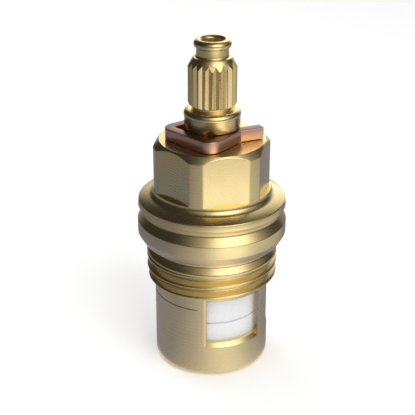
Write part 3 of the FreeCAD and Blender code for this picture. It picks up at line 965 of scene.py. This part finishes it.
def bent_strip(material):
    """Fillet the path, then sweep a rectangle with eased corners along it."""
    tree, given = new_geometry_tree("bent_strip", {"Strip": "Float", "Height": "Float", "Edge": "Float"})
    bend = add(tree, "GeometryNodeInputRadius")[0]
    path = add(tree, "GeometryNodeFilletCurve", {"mode": "POLY"}, Curve=given["Geometry"], Radius=bend,
               Count=10)[0]
    plain = add(tree, "GeometryNodeSetCurveRadius", Curve=path, Radius=1.0)[0]
    upright = add(tree, "GeometryNodeSetCurveNormal", {"mode": "Z_UP"}, Curve=plain)[0]
    section = add(tree, "GeometryNodeCurvePrimitiveQuadrilateral", Width=given["Strip"],
                  Height=given["Height"])[0]
    soft = add(tree, "GeometryNodeFilletCurve", {"mode": "POLY"}, Curve=section, Radius=given["Edge"],
               Count=3)[0]
    swept = add(tree, "GeometryNodeCurveToMesh", Curve=upright, Profile_Curve=soft, Fill_Caps=True)[0]
    close_tree(tree, swept, material)
    return tree


clip_sizes = {"Strip": clip_strip * MM, "Height": (clip_top - clip_foot) * MM, "Edge": clip_edge * MM}
clip_mesh = run_tree(clip_path(), bent_strip(strip_bronze), clip_sizes)
piece("spring_clip", clip_mesh, strip_bronze, "retaining_clip", TURNING)

# %% [markdown]
# The O-rings, the slip washer and the stiff ring in the seal are hidden inside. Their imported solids
# have all the shape that they need, so they stay and only get their materials.

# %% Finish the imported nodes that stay

kept = {"spindle_oring_lower": black_rubber, "spindle_oring_upper": black_rubber,
        "thrust_washer": white_acetal, "seal_support_ring": white_acetal}
for node, material in kept.items():
    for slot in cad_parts[node].material_slots:
        slot.material = material
print("kept as packed:", ", ".join(kept))

# %% [markdown]
# The set is white paper, a large soft lamp high on the right and a weaker one behind on the left.
# Metal shows what stands round it. A studio would put cards, paper and black cloth there, so a
# painted floor ring and a painted tent stand in for them: bright to the front right and behind,
# dark at the left and overhead. Only reflections see these two.

# %% Floor and backdrop


def background_rays(tree):
    """1 for the rays that show the background: seen directly, or in metal or glass."""
    rays = add(tree, "ShaderNodeLightPath")
    direct = maths(tree, "MAXIMUM", rays["Is Camera Ray"], rays["Is Glossy Ray"])
    return maths(tree, "MAXIMUM", direct, rays["Is Transmission Ray"])


def white_paper():
    """Matt white paper, seen a little lighter, so that it stays white beside soft shadows."""
    material, tree, shader, in_mm = new_material("white_paper")
    lift = maths(tree, "MULTIPLY", background_rays(tree), 0.18)
    feed(tree, shader, Base_Color=linear("#f7f7f7"), Roughness=0.9, Specular_IOR_Level=0.0,
         Emission_Color=(1, 1, 1, 1), Emission_Strength=lift)
    return material


def stage_mesh(name, grid, material):
    """A mesh that belongs to the set and not to the object."""
    made = put(name, mesh_of(name, [grid]))
    made.data.materials.append(material)
    made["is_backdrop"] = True
    return made


floor_half = 1200
sides = np.array([-floor_half, floor_half])
corners = np.stack([*np.meshgrid(sides, sides), np.zeros((2, 2))], axis=-1) * MM
floor = stage_mesh("floor", corners, white_paper())
if floor.data.polygons[0].normal.z < 0:
    floor.data.flip_normals()
print("paper floor: %.1f m wide" % (2 * floor_half * MM))

# %% Directions and lobes of painted light

camera_angle = -15
bright_side = camera_angle + 28  # where the photograph's metal shows its brightest light
right_side = camera_angle + 95
behind = camera_angle + 180


def reflected_only(made):
    """A card that metal shows, and that the camera, shadows and soft light pass by."""
    for rays in ("camera", "diffuse", "shadow", "transmission"):
        setattr(made, "visible_" + rays, False)


def summed(tree, terms):
    """Sum of (weight, output) terms."""
    total = 0.0
    for weight, output in terms:
        total = maths(tree, "MULTIPLY_ADD", output, weight, total)
    return total


def glowing(name):
    """A material that only gives off light, and a function for lobes of light round the object."""
    material, tree, shader, in_mm = new_material(name)
    feed(tree, shader, Base_Color=(0, 0, 0, 1), Specular_IOR_Level=0.0, Emission_Strength=1.0)

    def lobe(azimuth, inner, outer):
        """1 in a direction, falling softly to 0 between two angles from it, all in degrees."""
        turned = add(tree, "ShaderNodeVectorRotate", {"rotation_type": "Z_AXIS"}, Vector=in_mm,
                     Angle=radians(90 - azimuth))[0]
        split = add(tree, "ShaderNodeSeparateXYZ", input0=turned)
        off = maths(tree, "ABSOLUTE", maths(tree, "ARCTAN2", split[1], split[0]))
        return remap(tree, off, radians(inner), radians(outer), 1.0, 0.0, "SMOOTHSTEP")
    return material, tree, shader, in_mm, lobe


def tinted(tree, dark, light):
    """A dark colour with a grey amount of white light added."""
    white = add(tree, "ShaderNodeCombineXYZ", X=light, Y=light, Z=light)[0]
    return add(tree, "ShaderNodeVectorMath", {"operation": "ADD"}, input0=dark, input1=white)[0]


def changed_over(tree, distance, first, last, near, far):
    """One colour changing softly into another between two distances."""
    share = remap(tree, distance, first, last, kind="SMOOTHSTEP")
    return add(tree, "ShaderNodeMix", {"data_type": "VECTOR"}, input0=share, input4=near, input5=far)[1]


# %% The painted floor and tent


def painted_floor():
    """Paper round the foot: softer tones near the object, more contrast further out."""
    material, tree, shader, in_mm, lobe = glowing("painted_floor")
    near = tinted(tree, (0.25, 0.27, 0.42), summed(tree, [
        (0.37, lobe(bright_side - 8, 0, 90)), (0.18, lobe(bright_side - 8, 0, 45)),
        (0.3, lobe(behind, 10, 50))]))
    lobes = summed(tree, [
        (0.42, lobe(bright_side, 10, 100)), (0.68, lobe(bright_side, 5, 46)),
        (0.22, lobe(right_side, 10, 45)), (0.5, lobe(behind, 10, 40))])
    far = tinted(tree, (0.17, 0.195, 0.31), lobes)
    beyond = tinted(tree, (0.20, 0.19, 0.21), maths(tree, "MULTIPLY", lobes, 0.55))
    distance = length(tree, in_mm)
    outer = changed_over(tree, distance, 98, 118, far, beyond)
    feed(tree, shader, Emission_Color=changed_over(tree, distance, 22, 62, near, outer))
    return material


def painted_tent():
    """Walls bright to the front right and behind, dark at the left and overhead."""
    material, tree, shader, in_mm, lobe = glowing("painted_tent")
    height = add(tree, "ShaderNodeSeparateXYZ", input0=in_mm)[2]

    def below(first, last):
        """1 below a height, falling softly to 0 above, both as shares of the tent's radius."""
        return remap(tree, height, tent_r * first, tent_r * last, 1.0, 0.0, "SMOOTHSTEP")
    front = summed(tree, [(0.55, lobe(bright_side + 6, 10, 95)), (1.45, lobe(bright_side + 6, 5, 48))])
    window = maths(tree, "SUBTRACT", below(0.85, 0.95), below(0.18, 0.45))
    light = summed(tree, [
        (1.0, maths(tree, "MULTIPLY", front, window)),
        (0.9, maths(tree, "MULTIPLY", lobe(behind, 8, 34), below(0.5, 0.8))),
        (0.85, maths(tree, "MULTIPLY", lobe(behind - 20, 8, 32), below(0.85, 0.97)))])
    feed(tree, shader, Emission_Color=tinted(tree, (0.03, 0.03, 0.035), light))
    return material


tent_r = 600
card_height = 0.15  # above the paper
turns = np.linspace(0, 2 * pi, 97)
floor_ring = np.array([polar(r, turns, card_height) for r in (9.6, 60, 200, tent_r)])
reflected_only(stage_mesh("floor_card", floor_ring, painted_floor()))
rises = np.radians(np.linspace(0, 89.5, 24))
tent = np.array([polar(tent_r * cos(rise), turns, tent_r * sin(rise) + card_height) for rise in rises])
reflected_only(stage_mesh("tent_card", tent, painted_tent()))
print("painted tent: %.1f m wide" % (2 * tent_r * MM))

# %% World and lamps

world = bpy.data.worlds.new("studio")
bpy.context.scene.world = world
world.use_nodes = True
sky = world.node_tree
sky.nodes.clear()
fill, backdrop = (add(sky, "ShaderNodeBackground", Color=(1, 1, 1, 1), Strength=strength)[0]
                  for strength in (0.65, 1.0))
shown = add(sky, "ShaderNodeMixShader", input0=background_rays(sky), input1=fill, input2=backdrop)[0]
add(sky, "ShaderNodeOutputWorld", Surface=shown)
lamp_aim = Vector((0, 0, 26))


def soft_lamp(name, azimuth, elevation, distance, size, power):
    """Square lamp, placed round the object as the camera is, and aimed at it."""
    a, e = radians(azimuth), radians(elevation)
    away = Vector((sin(a) * cos(e), -cos(a) * cos(e), sin(e)))
    light = bpy.data.lights.new(name, "AREA")
    light.shape = "SQUARE"
    light.size = size * MM
    light.energy = power
    lamp = put(name, light)
    lamp.location = (lamp_aim + away * distance) * MM
    lamp.rotation_euler = away.to_track_quat("Z", "Y").to_euler()
    lamp.visible_glossy = False  # the painted walls are what metal shows


soft_lamp("key", camera_angle + 32, 42, 320, 220, 0.45)
soft_lamp("side", camera_angle - 140, 40, 340, 200, 0.25)
print("lamps:", ", ".join(light.name for light in bpy.data.lights))

# %% [markdown]
# The camera stands where the photograph's did. Its place, tilt and focal length were fitted to the
# ellipses that the turned edges draw in the photo, with the thread's known size as the scale.

# %% Camera

focal_px = 1060
frame_px = 415
shift_px = -4.35
camera_distance = 153.9
camera_height = 96.35
camera_pitch = radians(24.62)
camera_roll = radians(0.26)
eye = bpy.data.cameras.new("camera")
eye.sensor_width = 36
eye.lens = focal_px / frame_px * eye.sensor_width
eye.shift_x = shift_px / frame_px
eye.clip_start = 5 * MM
eye.clip_end = 20
camera = put("camera", eye)
turn = radians(camera_angle)
camera.location = polar(camera_distance, turn, camera_height)
facing = Euler((pi / 2 - camera_pitch, 0, turn)).to_matrix() @ Matrix.Rotation(camera_roll, 3, "Z")
camera.rotation_euler = facing.to_euler()
bpy.context.scene.camera = camera
bpy.context.scene.view_settings.view_transform = "Standard"
print("camera: %.0f mm lens, %.0f mm from the axis" % (eye.lens, camera_distance))

# %% Sizes

sizes = {"cad": [list(map(float, corner)) for corner in cad_bounds],
         "visual": [list(map(float, corner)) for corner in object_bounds()]}
print("CAD box", sizes["cad"])
print("visual box", sizes["visual"])
